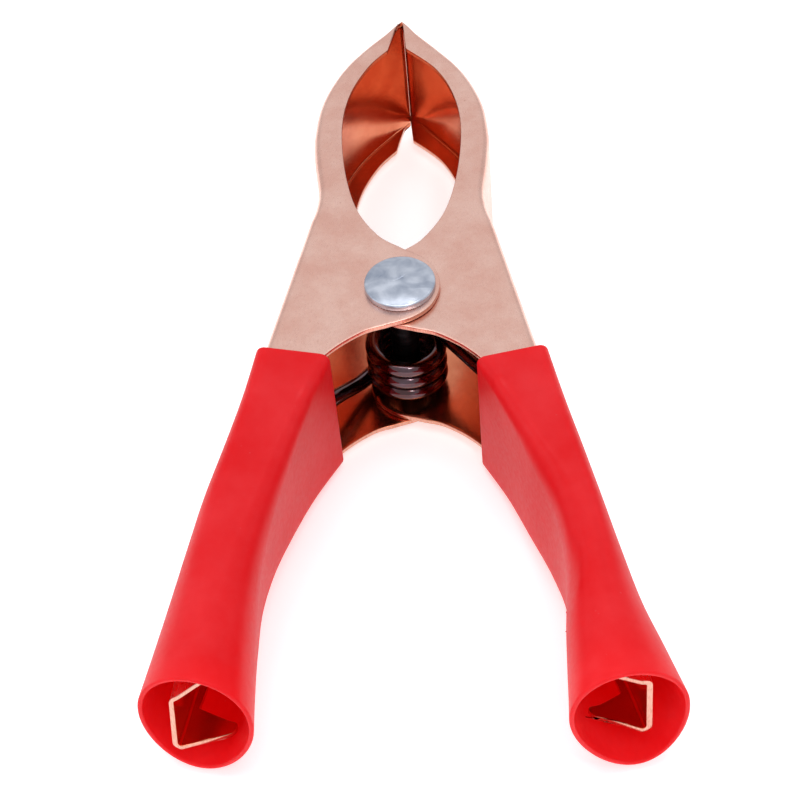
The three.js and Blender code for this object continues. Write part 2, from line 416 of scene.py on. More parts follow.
@dataclass(frozen=True)
class ZincPlatedRivetSteel:
    """Cold-headed steel with a thin bright zinc coat, scuffed by the riveting tool.

    Zinc looks bluish silver and slightly milky, with clouds where the coat is thin and short scratches from
    handling.
    """

    name: str = "zinc_plated_rivet_steel"
    milky: str = "#d2d8e4"
    clear: str = "#a2abbc"
    cloud_mm: float = 2.4
    scratch_mm: float = 0.35
    smoothest: float = 0.26
    roughest: float = 0.4

    def make(self) -> bpy.types.Material:
        """Builds the material."""
        material, tree, places = blank_material(self.name)
        cloud = add_node(tree, "ShaderNodeTexNoise", {
            "Vector": places, "Scale": per_mm(self.cloud_mm), "Detail": 4.0, "Distortion": 0.3,
        })
        turned = add_node(tree, "ShaderNodeMapping", {
            "Vector": places, "Rotation": (0.0, 0.0, 0.6), "Scale": (0.1, 1.0, 1.0),
        })
        scratches = add_node(tree, "ShaderNodeTexNoise", {
            "Vector": turned.outputs["Vector"], "Scale": per_mm(self.scratch_mm), "Detail": 4.0,
        })
        tones = add_node(tree, "ShaderNodeValToRGB", {"Fac": cloud.outputs["Fac"]}, stops=(
            (0.35, self.clear), (0.62, self.milky),
        ))
        gloss = add_node(tree, "ShaderNodeMapRange", {
            "Value": cloud.outputs["Fac"], "From Min": 0.3, "From Max": 0.7,
            "To Min": self.smoothest, "To Max": self.roughest,
        })
        marks = add_node(tree, "ShaderNodeMapRange", {
            "Value": scratches.outputs["Fac"], "From Min": 0.6, "From Max": 0.72,
            "To Min": 0.0, "To Max": 1.0,
        })
        dents = add_node(tree, "ShaderNodeBump", {
            "Height": marks.outputs["Result"], "Strength": 0.3, "Distance": 0.02 * MM,
        }, invert=True)
        shader = add_node(tree, "ShaderNodeBsdfPrincipled", {
            "Base Color": tones.outputs["Color"], "Metallic": 1.0, "Roughness": gloss.outputs["Result"],
            "Normal": dents.outputs["Normal"],
        })
        add_node(tree, "ShaderNodeOutputMaterial", {"Surface": shader.outputs["BSDF"]})
        return material


@dataclass(frozen=True)
class ShadedShankSteel:
    """The rivet's shank: steel painted dark for the shade inside the coil, brighter in rings where the coil
    rubs.
    """

    name: str = "painted_shade_shank_steel"
    # the dark tone is painted shade
    painted_shade_tone: str = "#2a2426"
    steel: str = "#6b6668"
    ring_mm: float = 1.1
    roughness: float = 0.38

    def make(self) -> bpy.types.Material:
        """Builds the material."""
        material, tree, places = blank_material(self.name)
        ringed = add_node(tree, "ShaderNodeMapping", {"Vector": places, "Scale": (0.15, 0.15, 1.0)})
        wear = add_node(tree, "ShaderNodeTexNoise", {
            "Vector": ringed.outputs["Vector"], "Scale": per_mm(self.ring_mm), "Detail": 4.0,
        })
        tones = add_node(tree, "ShaderNodeValToRGB", {"Fac": wear.outputs["Fac"]}, stops=(
            (0.45, self.painted_shade_tone), (0.75, self.steel),
        ))
        dents = add_node(tree, "ShaderNodeBump", {
            "Height": wear.outputs["Fac"], "Strength": 0.2, "Distance": 0.02 * MM,
        })
        shader = add_node(tree, "ShaderNodeBsdfPrincipled", {
            "Base Color": tones.outputs["Color"], "Metallic": 1.0, "Roughness": self.roughness,
            "Normal": dents.outputs["Normal"],
        })
        add_node(tree, "ShaderNodeOutputMaterial", {"Surface": shader.outputs["BSDF"]})
        return material


@dataclass(frozen=True)
class LacqueredSpringWire:
    """Hard-drawn spring wire under a thin transparent oxblood lacquer.

    The steel mirrors through the lacquer, so it runs from near-black to lavender grey, redder where the coat
    is thick.
    """

    name: str = "lacquered_spring_wire"
    thick: str = "#482325"
    thin: str = "#5c454f"
    cloud_mm: float = 2.2
    draw_mm: float = 0.3
    smoothest: float = 0.12
    roughest: float = 0.22
    coat_roughness: float = 0.05

    def make(self) -> bpy.types.Material:
        """Builds the material."""
        material, tree, places = blank_material(self.name)
        cloud = add_node(tree, "ShaderNodeTexNoise", {
            "Vector": places, "Scale": per_mm(self.cloud_mm), "Detail": 4.0,
        })
        draw = add_node(tree, "ShaderNodeTexNoise", {
            "Vector": places, "Scale": per_mm(self.draw_mm), "Detail": 2.0,
        })
        tones = add_node(tree, "ShaderNodeValToRGB", {"Fac": cloud.outputs["Fac"]}, stops=(
            (0.38, self.thick), (0.66, self.thin),
        ))
        gloss = add_node(tree, "ShaderNodeMapRange", {
            "Value": draw.outputs["Fac"], "From Min": 0.3, "From Max": 0.7,
            "To Min": self.smoothest, "To Max": self.roughest,
        })
        dents = add_node(tree, "ShaderNodeBump", {
            "Height": cloud.outputs["Fac"], "Strength": 0.12, "Distance": 0.05 * MM,
        })
        shader = add_node(tree, "ShaderNodeBsdfPrincipled", {
            "Base Color": tones.outputs["Color"], "Metallic": 1.0, "Roughness": gloss.outputs["Result"],
            "Coat Weight": 1.0, "Coat Roughness": self.coat_roughness, "Normal": dents.outputs["Normal"],
        })
        add_node(tree, "ShaderNodeOutputMaterial", {"Surface": shader.outputs["BSDF"]})
        return material


@dataclass(frozen=True)
class SoftRedVinyl:
    """Dip-moulded plasticised PVC tube.

    The plasticiser makes it soft and slightly cloudy, so light enters it and the thin walls glow red. Its
    skin is a satin orange peel, with dust specks and faint pale bloom.
    """

    name: str = "soft_red_vinyl"
    body: str = "#f61c24"
    pale: str = "#fb363d"
    bloom: str = "#f4666c"
    cloud_mm: float = 9.0
    peel_mm: float = 0.55
    speck_mm: float = 2.0
    smoothest: float = 0.3
    roughest: float = 0.42
    scatter: float = 0.15
    scatter_mm: float = 1.2
    translucency: float = 0.4  # share of the skin that passes light on through the thin wall

    def make(self) -> bpy.types.Material:
        """Builds the material."""
        material, tree, places = blank_material(self.name)
        cloud = add_node(tree, "ShaderNodeTexNoise", {
            "Vector": places, "Scale": per_mm(self.cloud_mm), "Detail": 5.0, "Roughness": 0.6,
        })
        peel = add_node(tree, "ShaderNodeTexNoise", {
            "Vector": places, "Scale": per_mm(self.peel_mm), "Detail": 3.0,
        })
        specks = add_node(tree, "ShaderNodeTexVoronoi", {"Vector": places, "Scale": per_mm(self.speck_mm)})
        tones = add_node(tree, "ShaderNodeValToRGB", {"Fac": cloud.outputs["Fac"]}, stops=(
            (0.35, self.body), (0.68, self.pale),
        ))
        speck_share = add_node(tree, "ShaderNodeMapRange", {
            "Value": specks.outputs["Distance"], "From Min": 0.02, "From Max": 0.07,
            "To Min": 0.35, "To Max": 0.0,
        })
        specked = add_node(tree, "ShaderNodeMixRGB", {
            "Fac": speck_share.outputs["Result"], "Color1": tones.outputs["Color"],
            "Color2": linear(self.bloom),
        })
        gloss = add_node(tree, "ShaderNodeMapRange", {
            "Value": peel.outputs["Fac"], "From Min": 0.3, "From Max": 0.7,
            "To Min": self.smoothest, "To Max": self.roughest,
        })
        dents = add_node(tree, "ShaderNodeBump", {
            "Height": peel.outputs["Fac"], "Strength": 0.12, "Distance": 0.04 * MM,
        })
        shader = add_node(tree, "ShaderNodeBsdfPrincipled", {
            "Base Color": specked.outputs["Color"], "Roughness": gloss.outputs["Result"], "IOR": 1.53,
            "Specular IOR Level": 0.2,
            "Subsurface Weight": self.scatter, "Subsurface Scale": self.scatter_mm * MM,
            "Subsurface Radius": (1.0, 0.12, 0.1), "Normal": dents.outputs["Normal"],
        })
        through_light = add_node(tree, "ShaderNodeBsdfTranslucent", {"Color": specked.outputs["Color"]})
        skin = add_node(tree, "ShaderNodeMixShader", {
            "Fac": self.translucency, 1: shader.outputs["BSDF"], 2: through_light.outputs["BSDF"],
        })
        add_node(tree, "ShaderNodeOutputMaterial", {"Surface": skin.outputs["Shader"]})
        return material


@dataclass(frozen=True)
class LitOpalAcrylic:
    """The sheet that the clamp lies on: sand-blasted opal acrylic, faintly mottled, lit from below."""

    name: str = "lit_opal_acrylic"
    white: str = "#fbfbfb"
    shade: str = "#f7f7f8"
    mottle_mm: float = 12.0
    glow: float = 0.47

    def make(self) -> bpy.types.Material:
        """Builds the material."""
        material, tree, places = blank_material(self.name)
        mottle = add_node(tree, "ShaderNodeTexNoise", {
            "Vector": places, "Scale": per_mm(self.mottle_mm), "Detail": 4.0,
        })
        tones = add_node(tree, "ShaderNodeValToRGB", {"Fac": mottle.outputs["Fac"]}, stops=(
            (0.3, self.shade), (0.7, self.white),
        ))
        shader = add_node(tree, "ShaderNodeBsdfPrincipled", {
            "Base Color": tones.outputs["Color"], "Roughness": 0.95, "Specular IOR Level": 0.1,
            "Emission Color": tones.outputs["Color"], "Emission Strength": self.glow,
        })
        add_node(tree, "ShaderNodeOutputMaterial", {"Surface": shader.outputs["BSDF"]})
        return material


# ---- Pieces -------------------------------------------------------------------------------------------


@dataclass(frozen=True)
class HandleLine:
    """The straight run of a right-hand lever's web along its grip."""

    neck: tuple[float, float] = (9.6, 15.2)
    lean: float = math.radians(12.2)  # from the clamp's middle line
    start_run: float = 2.2  # down the handle from the neck to where the web is straight

    @property
    def along(self) -> np.ndarray:
        """Unit vector down the handle."""
        return np.array((math.sin(self.lean), -math.cos(self.lean)))

    @property
    def inward(self) -> np.ndarray:
        """Unit vector from the web to the gap between the handles."""
        return np.array((-math.cos(self.lean), -math.sin(self.lean)))

    def place(self, run: np.ndarray | float, depth: np.ndarray | float) -> np.ndarray:
        """A point down the handle from the neck, moved inward by a depth."""
        run, depth = np.broadcast_arrays(np.asarray(run, float), np.asarray(depth, float))
        return np.array(self.neck) + run[..., None] * self.along + depth[..., None] * self.inward

    def at_height(self, y: float, depth: float = 0.0) -> np.ndarray:
        """The point of that depth whose height is y."""
        start = self.place(self.start_run, depth)
        return start + self.along * (y - start[1]) / self.along[1]


@dataclass(frozen=True)
class PressedLever:
    """One lever, blanked from strip and folded to a channel: a web outside, and a front and a rear cheek."""

    side: Side
    half: float  # half the width over its cheeks
    nose_tip: tuple[float, float]  # the cheeks' free edge at the jaw's tip
    nose_corner: tuple[float, float]  # the corner below it, where the jaw opening starts
    tip_y: float
    end_y: float
    ear_reach: float  # depth of the cable ears
    ear_flare: tuple[float, float]  # how far the front and rear cable ears splay apart at their free ends
    end_shift: tuple[float, float]  # how far the handle's end is bent inward, at the front and at the rear
    tip_x: float  # where the web ends; the outer lever's just passes the middle line, so no slit shows
    sheet: float = 0.6
    bend: float = 1.0
    handle: HandleLine = field(default_factory=HandleLine)
    end_half: float = 4.6
    taper_top: float = -12.0
    flange: float = 2.2  # depth of the cheeks along the grip
    flare_depth: float = 5.8  # depth at which the ears' splay is whole
    flare_run: tuple[float, float] = (0.5, 5.5)  # height over the end where it is whole, and where it is gone
    shift_top: float = -38.0  # height at which the handle's end starts to bend inward
    ear_hold: float = 0.85  # how much the ears' free ends stay where they are as it bends
    nose_turn: float = 42.5  # height from which the sheet's thickness is turned to face the handles
    hole_radius: float = 1.66
    edge_round: float = 0.07

    def web_line(self) -> np.ndarray:
        """The web's outer line as close points, from the handle's end to the jaw's tip."""
        low, high = self.handle.at_height(11.5), np.array((9.8, 18.0))
        control = np.array((9.35, 14.6))
        t = np.linspace(0, 1, 25)[:, None]
        neck = low * (1 - t) ** 2 + control * 2 * t * (1 - t) + high * t**2
        jaw = through([
            high, (10.3, 22.4), (10.42, 26.6), (9.75, 32.2), (7.7, 37.8), (4.7, 42.4),
            (self.tip_x, self.tip_y),
        ], 30)
        return np.vstack([self.handle.at_height(self.end_y), neck, jaw[1:]])

    def ribs(self) -> np.ndarray:
        """Pairs of web height and free edge point, close together, from the handle's end to the tip.

        Returns:
            Rows of web height, edge x and edge y.
        """
        end = self.end_y

        def edge(web_y: float, depth: float, y: float) -> tuple[float, float, float]:
            """A rib whose free edge is given by its depth from the web."""
            return (web_y, *self.handle.at_height(y, depth))

        reach = self.ear_reach
        ear = [
            edge(end, reach - 1.1, end + 1.0), edge(end + 0.5, reach - 0.3, end + 1.3),
            edge(end + 1.1, reach, end + 1.9), edge(end + 1.8, reach - 0.2, end + 2.5),
            edge(end + 2.6, reach - 1.3, end + 2.9), edge(end + 4.4, 1.55, end + 4.4),
        ]
        flange = edge(-29, self.flange, -29)
        nose = (43.6, *self.nose_corner)
        cheek = [
            flange, (-21, 14.2, -22), (-13.2, 11.2, -14.4), (-8.6, 7.9, -9.7), (-5.2, 4.3, -6.8),
            (-2.6, 1.4, -5.75), (-0.4, -1.5, -4.7), (1.5, -3.6, -2.7), (3.4, -4.4, 0.6), (5.6, -3, 4),
            (8, 0, 6.2), (10.4, 2.6, 8.4), (14.2, 5.1, 12.9), (20.2, 6.6, 19.6), (27.6, 7.1, 27.4),
            (34.2, 6.25, 33.4), (39.9, 4.1, 38.5), nose,
        ]
        tip = (self.tip_y, *self.nose_tip)
        parts = [through(ear, 3), straight(ear[-1], flange, 24), through(cheek, 12), straight(nose, tip, 9)]
        return np.vstack([parts[0], *[part[1:] for part in parts[1:]]])

    def half_at(self, y: np.ndarray) -> np.ndarray:
        """Half the width over the cheeks at a height: straight over the jaws, narrowing down the handle."""
        share = np.clip((self.taper_top - y) / (self.taper_top - self.end_y), 0, 1)
        return self.half + (self.end_half - self.half) * share

    def flare_at(self, depth: np.ndarray, y: np.ndarray) -> np.ndarray:
        """Share of the ears' splay at a point of the cheek."""
        whole, gone = self.flare_run
        near_end = np.clip((self.end_y + gone - y) / (gone - whole), 0, 1)
        return np.clip(depth / self.flare_depth, 0, 1.1) * near_end

    def surfaces(self) -> tuple[np.ndarray, np.ndarray]:
        """The outer and inner faces as matching grids of points, from the handle's end to the tip.

        Returns:
            Two arrays of rows, columns and coordinates; columns run from the front free edge to the rear one.
        """
        ribs, line = self.ribs(), self.web_line()
        web_y, edge = ribs[:, 0], ribs[:, 1:]
        web = np.stack([np.interp(web_y, line[:, 1], line[:, 0]), web_y], axis=1)
        heading = unit(np.gradient(web, axis=0))
        inward = np.stack([-heading[:, 1], heading[:, 0]], axis=1)
        at_nose = smoothstep(web_y, self.nose_turn, self.tip_y)[:, None]
        inward = unit(inward * (1 - at_nose) + np.array((0.0, -1.0)) * at_nose)
        reach = np.linalg.norm(edge - web, axis=1)
        bend = np.minimum(self.bend, 0.6 * reach)
        faces = []
        for wall in (0.0, self.sheet):
            radius = np.maximum(bend - wall, 0.03)
            depth = wall + radius  # of the bend's centre from the web's outer face
            cheek = []
            start = web + inward * depth[:, None]
            for t in np.linspace(0, 1, 17)[:-1]:
                flat = edge * (1 - t) + start * t
                from_web = np.linalg.norm(flat - web, axis=1)
                splay = self.flare_at(from_web, flat[:, 1])
                z = self.half_at(flat[:, 1]) - wall
                cheek.append((flat, z, splay))
            for angle in np.linspace(0, math.pi / 2, 8):
                from_web = depth - radius * math.sin(angle)
                flat = web + inward * from_web[:, None]
                z = self.half_at(flat[:, 1]) - wall - radius * (1 - math.cos(angle))
                cheek.append((flat, z, self.flare_at(from_web, flat[:, 1])))
            front = [np.column_stack([flat, z + splay * self.ear_flare[0]]) for flat, z, splay in cheek]
            rear = [np.column_stack([flat, -z - splay * self.ear_flare[1]]) for flat, z, splay in cheek]
            between = [front[-1] * (1 - t) + rear[-1] * t for t in np.linspace(0, 1, 15)[1:-1]]
            faces.append(np.stack([*front, *between, *rear[::-1]], axis=1))
        outer, inner = faces
        for face in faces:
            bent = smoothstep(-face[..., 1], -self.shift_top, -self.end_y)
            frontness = np.clip(face[..., 2] / self.end_half, -1, 1) / 2 + 0.5
            depth = (face[..., :2] - self.handle.at_height(self.end_y)) @ self.handle.inward
            let_go = 1 - self.ear_hold * np.clip(depth / self.ear_reach, 0, 1)
            shift = bent * let_go * (self.end_shift[1] + (self.end_shift[0] - self.end_shift[1]) * frontness)
            face[..., :2] += shift[..., None] * self.handle.inward
            face[..., 0] *= self.side.value
        return outer, inner

    def build(self, layout: "ClampLayout", finish: dict[str, bpy.types.Material]) -> bpy.types.Object:
        """Makes the lever's mesh, cuts its rivet holes and dresses it.

        Args:
            layout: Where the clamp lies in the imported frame.
            finish: Every material by name.

        Returns:
            The lever.
        """
        outer, inner = self.surfaces()
        rows, columns = outer.shape[:2]
        walls, rims = shell_faces(rows, columns, wrap=False)
        points = np.vstack([outer.reshape(-1, 3), inner.reshape(-1, 3)])
        faces = turned_outward(points, walls + rims)
        piece = new_piece(
            f"{self.side.word}_lever_sheet", points, faces, layout.middle,
            [finish[key] for key in ("copper_plated_steel", "painted_glow_and_shade_copper", "sheared_copper_edge")],
            # the inner faces and the rim at the tip take the copper copy with painted shade and painted
            # reflected glow
            [0] * (len(walls) // 2) + [1] * (len(walls) // 2)
            + [2] * (columns - 1) + [1] * (columns - 1) + [2] * (len(rims) - 2 * columns + 2),
        )
        cut_hole(piece, self.hole_radius, layout.middle)
        soften_edges(piece, self.edge_round)
        return piece


@dataclass(frozen=True)
class PivotRivet:
    """The rivet: a shallow domed head in front, a plain shank and a clinched flat head behind."""

    grip: float  # half the length between its heads
    head_radius: float
    head_height: float
    clinch_height: float
    clinch_radius: float = 3.4
    shank_radius: float = 1.6
    crown: float = 0.34
    rim_radius: float = 0.22
    nick_depth: float = 0.035
    scratch_way: tuple[float, float] = (0.93, 0.37)  # unit vector along the scratch
    rings: int = 44
    segments: int = 128

    def profile(self) -> np.ndarray:
        """Radius and height from the rear head's centre to the front head's centre."""
        top, low = self.grip + self.head_height, -self.grip - self.clinch_height
        turn = np.linspace(0, math.pi / 2, 7)
        rim = self.rim_radius
        edge_height = top - self.crown
        rear = [(self.clinch_radius - 0.35, low + 0.02), (self.clinch_radius - 0.12, low + 0.12),
                (self.clinch_radius, low + 0.36), (self.clinch_radius, -self.grip + 0.03)]
        shank = [(self.shank_radius + 0.1, -self.grip), (self.shank_radius, -self.grip + 0.15),
                 (self.shank_radius, self.grip - 0.15), (self.shank_radius + 0.1, self.grip)]
        under = [(self.head_radius - 0.08, self.grip), (self.head_radius, self.grip + 0.08)]
        side = [
            (self.head_radius - rim * (1 - math.cos(a)), edge_height - rim * (1 - math.sin(a)))
            for a in turn
        ]
        reach = self.head_radius - rim
        dome = [
            (r, edge_height + self.crown * (1 - (r / reach) ** 2))
            for r in np.linspace(reach, 0, self.rings)[1:]
        ]
        flat = [(0, low), (self.clinch_radius * 0.5, low)]
        return np.array([*flat, *rear, *shank, *under, *side, *dome])

    def dented(self, points: np.ndarray) -> np.ndarray:
        """Presses the punch's nick, one scratch and a slight unevenness into the front head.

        Args:
            points: The rivet's points.

        Returns:
            The points with the front head's face marked.
        """
        x, y, z = points.T
        on_face = smoothstep(z, self.grip + self.head_height * 0.5, self.grip + self.head_height * 0.75)
        way_x, way_y = self.scratch_way
        run, off = (x + 0.3) * way_x + (y + 0.15) * way_y, -(x + 0.3) * way_y + (y + 0.15) * way_x
        scratch = bump(off - 0.25 * run**2, 0, 0.12) * bump(run, 0.5, 0.95)
        nick = bump(np.hypot(x + 0.55, y - 0.15), 0, 0.3)
        swell = np.array([noise.noise(Vector((a * 0.55, b * 0.55, 3.1))) for a, b in zip(x, y)])
        moved = points.copy()
        moved[:, 2] += on_face * (0.06 * swell - self.nick_depth * (scratch + 0.7 * nick))
        return moved

    def build(self, layout: "ClampLayout", finish: dict[str, bpy.types.Material]) -> bpy.types.Object:
        """Makes the rivet's mesh and dresses it.

        Args:
            layout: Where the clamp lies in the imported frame.
            finish: Every material by name.

        Returns:
            The rivet.
        """
        profile = self.profile()
        angles = np.arange(self.segments) * 2 * math.pi / self.segments
        body = profile[1:-1]
        rings = np.stack([
            body[:, :1] * np.cos(angles), body[:, :1] * np.sin(angles),
            np.repeat(body[:, 1:], self.segments, axis=1),
        ], axis=2)
        points = np.vstack([rings.reshape(-1, 3), (0, 0, profile[0, 1]), (0, 0, profile[-1, 1])])
        faces = grid_faces(len(body), self.segments, wrap=True)
        last, low, high = (len(body) - 1) * self.segments, len(points) - 2, len(points) - 1
        for j in range(self.segments):
            k = (j + 1) % self.segments
            faces += [(low, k, j), (high, last + j, last + k)]
        points = self.dented(points)
        # the shank's faces take the steel that is painted dark as shade
        on_shank = [all(abs(points[i][2]) < self.grip for i in face) for face in faces]
        return new_piece(
            "rivet_body", points, turned_outward(points, faces), layout.middle,
            [finish["zinc_plated_rivet_steel"], finish["painted_shade_shank_steel"]],
            [int(inside) for inside in on_shank],
        )


@dataclass(frozen=True)
class TorsionSpring:
    """The close-wound spring: a leg into each handle and the coil round the rivet's shank."""

    outer_radius: float  # of the coil
    low: float  # of the wire's underside at the left leg, from the middle plane
    high: float  # of the wire's top at the right leg
    wire: float = 1.8
    leg_angle: float = math.radians(37)
    leg_length: float = 15.6
    rise: float = 2.2  # of the left leg
    rise_run: tuple[float, float] = (2.5, 10.5)  # where along the leg it rises
    turns: int = 3  # whole turns, besides the arc between the legs
    chamfer: float = 0.25  # at the wire's ends
    sides: int = 24
    steps: int = 300

    @property
    def radius(self) -> float:
        """The coil's radius to the wire's centre."""
        return self.outer_radius - self.wire / 2

    def path(self) -> np.ndarray:
        """The wire's centre line, from the left leg's end to the right leg's end."""
        lead = math.pi - self.leg_angle
        sweep = 2 * math.pi * self.turns + lead - self.leg_angle
        share = np.linspace(0, 1, self.steps)
        angle = lead - sweep * share
        z = (self.low + self.wire / 2) * (1 - share) + (self.high - self.wire / 2) * share
        coil = np.column_stack([self.radius * np.cos(angle), self.radius * np.sin(angle), z])
        out = self.leg_length * (1 - np.linspace(0, 1, 26))[:-1, None]
        down = -math.cos(self.leg_angle)
        left = coil[0] + out * (-math.sin(self.leg_angle), down, 0)
        left[:, 2] += self.rise * smoothstep(out[:, 0], *self.rise_run)
        right = coil[-1] + out[::-1] * (math.sin(self.leg_angle), down, 0)
        line = np.vstack([left, coil, right])
        for _ in range(3):  # eases the slight kinks where the legs leave the coil
            line[1:-1] = (line[:-2] + 2 * line[1:-1] + line[2:]) / 4
        return line

    def build(self, layout: "ClampLayout", finish: dict[str, bpy.types.Material]) -> bpy.types.Object:
        """Sweeps the wire along its path, rounds its ends and dresses it.

        Args:
            layout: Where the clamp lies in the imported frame.
            finish: Every material by name.

        Returns:
            The spring.
        """
        line = self.path()
        heading = unit(np.gradient(line, axis=0))
        side = unit(np.cross(heading, (0, 0, 1)))
        up = np.cross(side, heading)
        radius = self.wire / 2
        for place in (0, -1):
            line = np.insert(line, 0 if place == 0 else len(line), line[place], axis=0)
            heading, side, up = (
                np.insert(a, 0 if place == 0 else len(a), a[place], axis=0) for a in (heading, side, up)
            )
            line[place] += heading[place] * (self.chamfer if place else -self.chamfer)
        radii = np.full(len(line), radius)
        radii[0] = radii[-1] = radius - self.chamfer
        angles = np.arange(self.sides) * 2 * math.pi / self.sides
        rings = (
            line[:, None]
            + radii[:, None, None] * np.cos(angles)[None, :, None] * side[:, None]
            + radii[:, None, None] * np.sin(angles)[None, :, None] * up[:, None]
        )
        points = rings.reshape(-1, 3)
        faces = grid_faces(len(line), self.sides, wrap=True)
        last = (len(line) - 1) * self.sides
        faces += [tuple(range(self.sides))[::-1], tuple(range(last, last + self.sides))]
        return new_piece(
            "spring_wire", points, turned_outward(points, faces), layout.middle,
            [finish["lacquered_spring_wire"]],
        )


@dataclass(frozen=True)
class SleeveShape:
    """A sleeve's outer section at stations down its length, in millimetres; depths run in from the web."""

    web: tuple[float, ...]  # depth of the side over the web
    front: tuple[float, ...]  # depth of the side towards the handles' gap, at the front
    rear: tuple[float, ...]  # and at the rear
    high: tuple[float, ...]  # half the height along the pivot
    lump: tuple[float, float]  # run and depth of the lump that the cheek's corner raises near the top
    crease: tuple[tuple[float, float], ...] = ()  # runs and depths along a fold in the front


@dataclass(frozen=True)
class GripSleeve:
    """A soft vinyl tube pushed over a handle: boxy and tight where the lever is wide, round at its end."""

    side: Side
    top_run: float  # from the neck to its top edge, along the handle
    shape: SleeveShape
    length: float = 41.9
    wall: float = 0.5
    lump_height: float = 0.3
    lump_radius: float = 0.9
    crease_depth: float = 0.4
    crease_width: float = 0.9
    crease_fade: tuple[float, float] = (2.0, 3.0)  # before and past each end of the fold
    rim_round: float = 0.16
    handle: HandleLine = field(default_factory=HandleLine)
    rows: int = 150
    columns: int = 144
    stations: tuple[float, ...] = (0, 0.15, 0.3, 0.45, 0.6, 0.75, 0.88, 1)  # shares of the length
    round_across: tuple[float, ...] = (0.26, 0.38, 0.5, 0.6, 0.75, 0.9, 1, 1)  # corner radius / half width
    round_high: tuple[float, ...] = (0.11, 0.19, 0.31, 0.44, 0.62, 0.82, 0.95, 1)  # and / half height

    def between(self, values: Sequence[float], share: float) -> float:
        """Reads a smooth curve through values at the stations.

        Args:
            values: One value for each station.
            share: Share of the sleeve's length.

        Returns:
            The curve's value there.
        """
        i = max(k for k in range(len(self.stations) - 1) if share >= self.stations[k])
        slopes = [
            (values[min(k + 1, len(values) - 1)] - values[max(k - 1, 0)])
            / (self.stations[min(k + 1, len(values) - 1)] - self.stations[max(k - 1, 0)])
            for k in (i, i + 1)
        ]
        span = self.stations[i + 1] - self.stations[i]
        t = (share - self.stations[i]) / span
        blend = float(smoothstep(t, 0, 1))
        eased = values[i] * (1 - blend) + values[i + 1] * blend
        return eased + span * (t * (1 - t) ** 2 * slopes[0] - t * t * (1 - t) * slopes[1])

    def section(self, share: float) -> np.ndarray:
        """The outer section as evenly spaced points of depth and z, one quarter of them to each quadrant.

        Args:
            share: Share of the sleeve's length.

        Returns:
            Points from the web side, over the front, round the gap side and back behind.
        """
        shape = self.shape
        tables = (shape.web, shape.front, shape.rear, shape.high, self.round_across, self.round_high)
        web, front, rear, high, round_across, round_high = (self.between(table, share) for table in tables)
        turn = np.linspace(0, math.pi / 2, 60)
        x = np.concatenate([[1.0], 1 - round_across + round_across * np.cos(turn), [0.0]])
        y = np.concatenate([[0.0], 1 - round_high + round_high * np.sin(turn), [1.0]])
        half = (front + rear) / 4 - web / 2
        run = np.concatenate([[0], np.cumsum(np.hypot(np.diff(x) * half, np.diff(y) * high))])
        wanted = np.linspace(0, run[-1], self.columns // 4 + 1)
        qx, qy = np.interp(wanted, run, x), np.interp(wanted, run, y)
        across = np.concatenate([-qx[:-1], qx[:0:-1], qx[:-1], -qx[:0:-1]])
        height = np.concatenate([qy[:-1], qy[:0:-1], -qy[:-1], -qy[:0:-1]])
        gap_side = rear + (front - rear) * (height + 1) / 2
        return np.column_stack([web + (across + 1) / 2 * (gap_side - web), height * high])

    def lumped(self, run: float, depth: np.ndarray) -> np.ndarray:
        """How far the cheek's corner raises the front at points of one section."""
        away = np.hypot(run - self.shape.lump[0], depth - self.shape.lump[1])
        return self.lump_height * bump(away, 0, self.lump_radius)

    def creased(self, run: float, depth: np.ndarray) -> np.ndarray:
        """How far the fold sinks the front at points of one section."""
        if not self.shape.crease:
            return np.zeros(len(depth))
        runs, depths = zip(*self.shape.crease)
        before, past = self.crease_fade
        starts = smoothstep(run, runs[0] - before, runs[0] + past)
        ends = smoothstep(-run, -runs[-1] - before, -runs[-1] + past)
        line = float(np.interp(run, runs, depths))
        return self.crease_depth * float(starts * ends) * bump(depth, line, self.crease_width)

    def outer(self) -> np.ndarray:
        """The sleeve's outer face as a grid of points, from its top edge to its open end."""
        shares = np.linspace(0, 1, self.rows)
        rows = []
        for share in shares:
            depth, z = self.section(float(share)).T
            run = self.top_run + share * self.length
            z = z + self.lumped(run, depth) * (z > 0)
            z = z - self.creased(run, depth) * (z > 0)
            flat = self.handle.place(run, depth)
            flat[:, 0] *= self.side.value
            rows.append(np.column_stack([flat, z]))
        return np.stack(rows)

    def build(self, layout: "ClampLayout", finish: dict[str, bpy.types.Material]) -> bpy.types.Object:
        """Makes the sleeve's outer and inner faces, rounds its rims and dresses it.

        Args:
            layout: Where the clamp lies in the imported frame.
            finish: Every material by name.

        Returns:
            The sleeve.
        """
        outer = self.outer()
        down = np.gradient(outer, axis=0)
        round_it = np.roll(outer, -1, axis=1) - np.roll(outer, 1, axis=1)
        normal = unit(np.cross(down, round_it))
        centre = outer.mean(axis=1, keepdims=True)
        if np.sum(normal * (outer - centre)) < 0:
            normal = -normal
        inner = outer - normal * self.wall
        walls, rims = shell_faces(self.rows, self.columns, wrap=True)
        points = np.vstack([outer.reshape(-1, 3), inner.reshape(-1, 3)])
        piece = new_piece(
            f"{self.side.word}_sleeve_tube", points, turned_outward(points, walls + rims), layout.middle,
            [finish["soft_red_vinyl"]],
        )
        soften_edges(piece, self.rim_round, sharper_than=60)
        return piece


